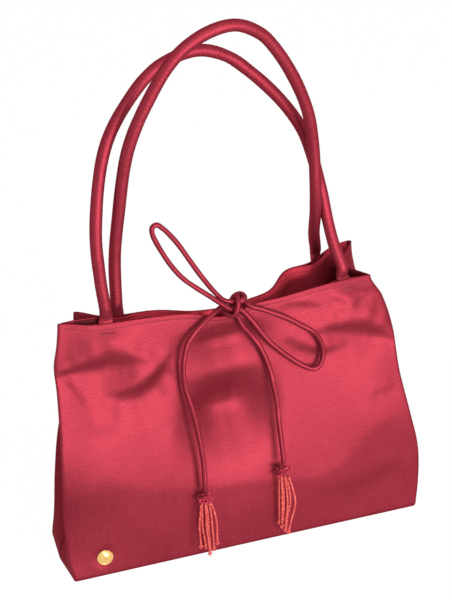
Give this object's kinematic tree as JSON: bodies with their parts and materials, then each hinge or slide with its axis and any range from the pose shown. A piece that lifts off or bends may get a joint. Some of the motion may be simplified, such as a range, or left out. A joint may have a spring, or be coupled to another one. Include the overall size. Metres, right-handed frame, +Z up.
{
  "type": "satin tie-top handbag",
  "caption": "Satin handbag with a flat base, folded side gussets, padded shoulder handles and tie cords knotted in a bow, with bead tassels.",
  "frame": {"origin": "middle of the base on the ground, under the bottom panel", "axes": "+X along the bag's width, to the right as seen from the front; the front with the bow faces -Y; +Z up from the base to the handles"},
  "size_m": [0.3213, 0.1044, 0.4524],
  "materials": {
    "satin": "burgundy satin with a soft sheen",
    "lining": "dark red plain-weave lining",
    "board": "grey-brown base board",
    "filler": "undyed cotton filler cord",
    "crimson_beads": "crimson glass seed beads",
    "coral_beads": "coral glass seed beads",
    "gilt": "polished gilt"
  },
  "bodies": {
    "root": {"front_panel": "satin", "back_panel": "satin", "left_gusset": "satin", "right_gusset": "satin", "base_panel": "satin", "front_facing": "satin", "back_facing": "satin", "front_handle_sleeve": "satin", "back_handle_sleeve": "satin", "front_tie": "satin", "back_tie": "satin", "front_lining": "lining", "back_lining": "lining", "left_gusset_lining": "lining", "right_gusset_lining": "lining", "base_lining": "lining", "base_board": "board", "front_handle_filler": "filler", "back_handle_filler": "filler", "left_rosette": "crimson_beads", "right_rosette": "crimson_beads", "left_bead_strand_1": "coral_beads", "left_bead_strand_2": "coral_beads", "left_bead_strand_3": "coral_beads", "left_bead_strand_4": "coral_beads", "left_bead_strand_5": "coral_beads", "left_bead_strand_6": "coral_beads", "right_bead_strand_1": "coral_beads", "right_bead_strand_2": "coral_beads", "right_bead_strand_3": "coral_beads", "right_bead_strand_4": "coral_beads", "right_bead_strand_5": "coral_beads", "right_bead_strand_6": "coral_beads", "stud": "gilt", "washer": "gilt"}
  },
  "joints": []
}
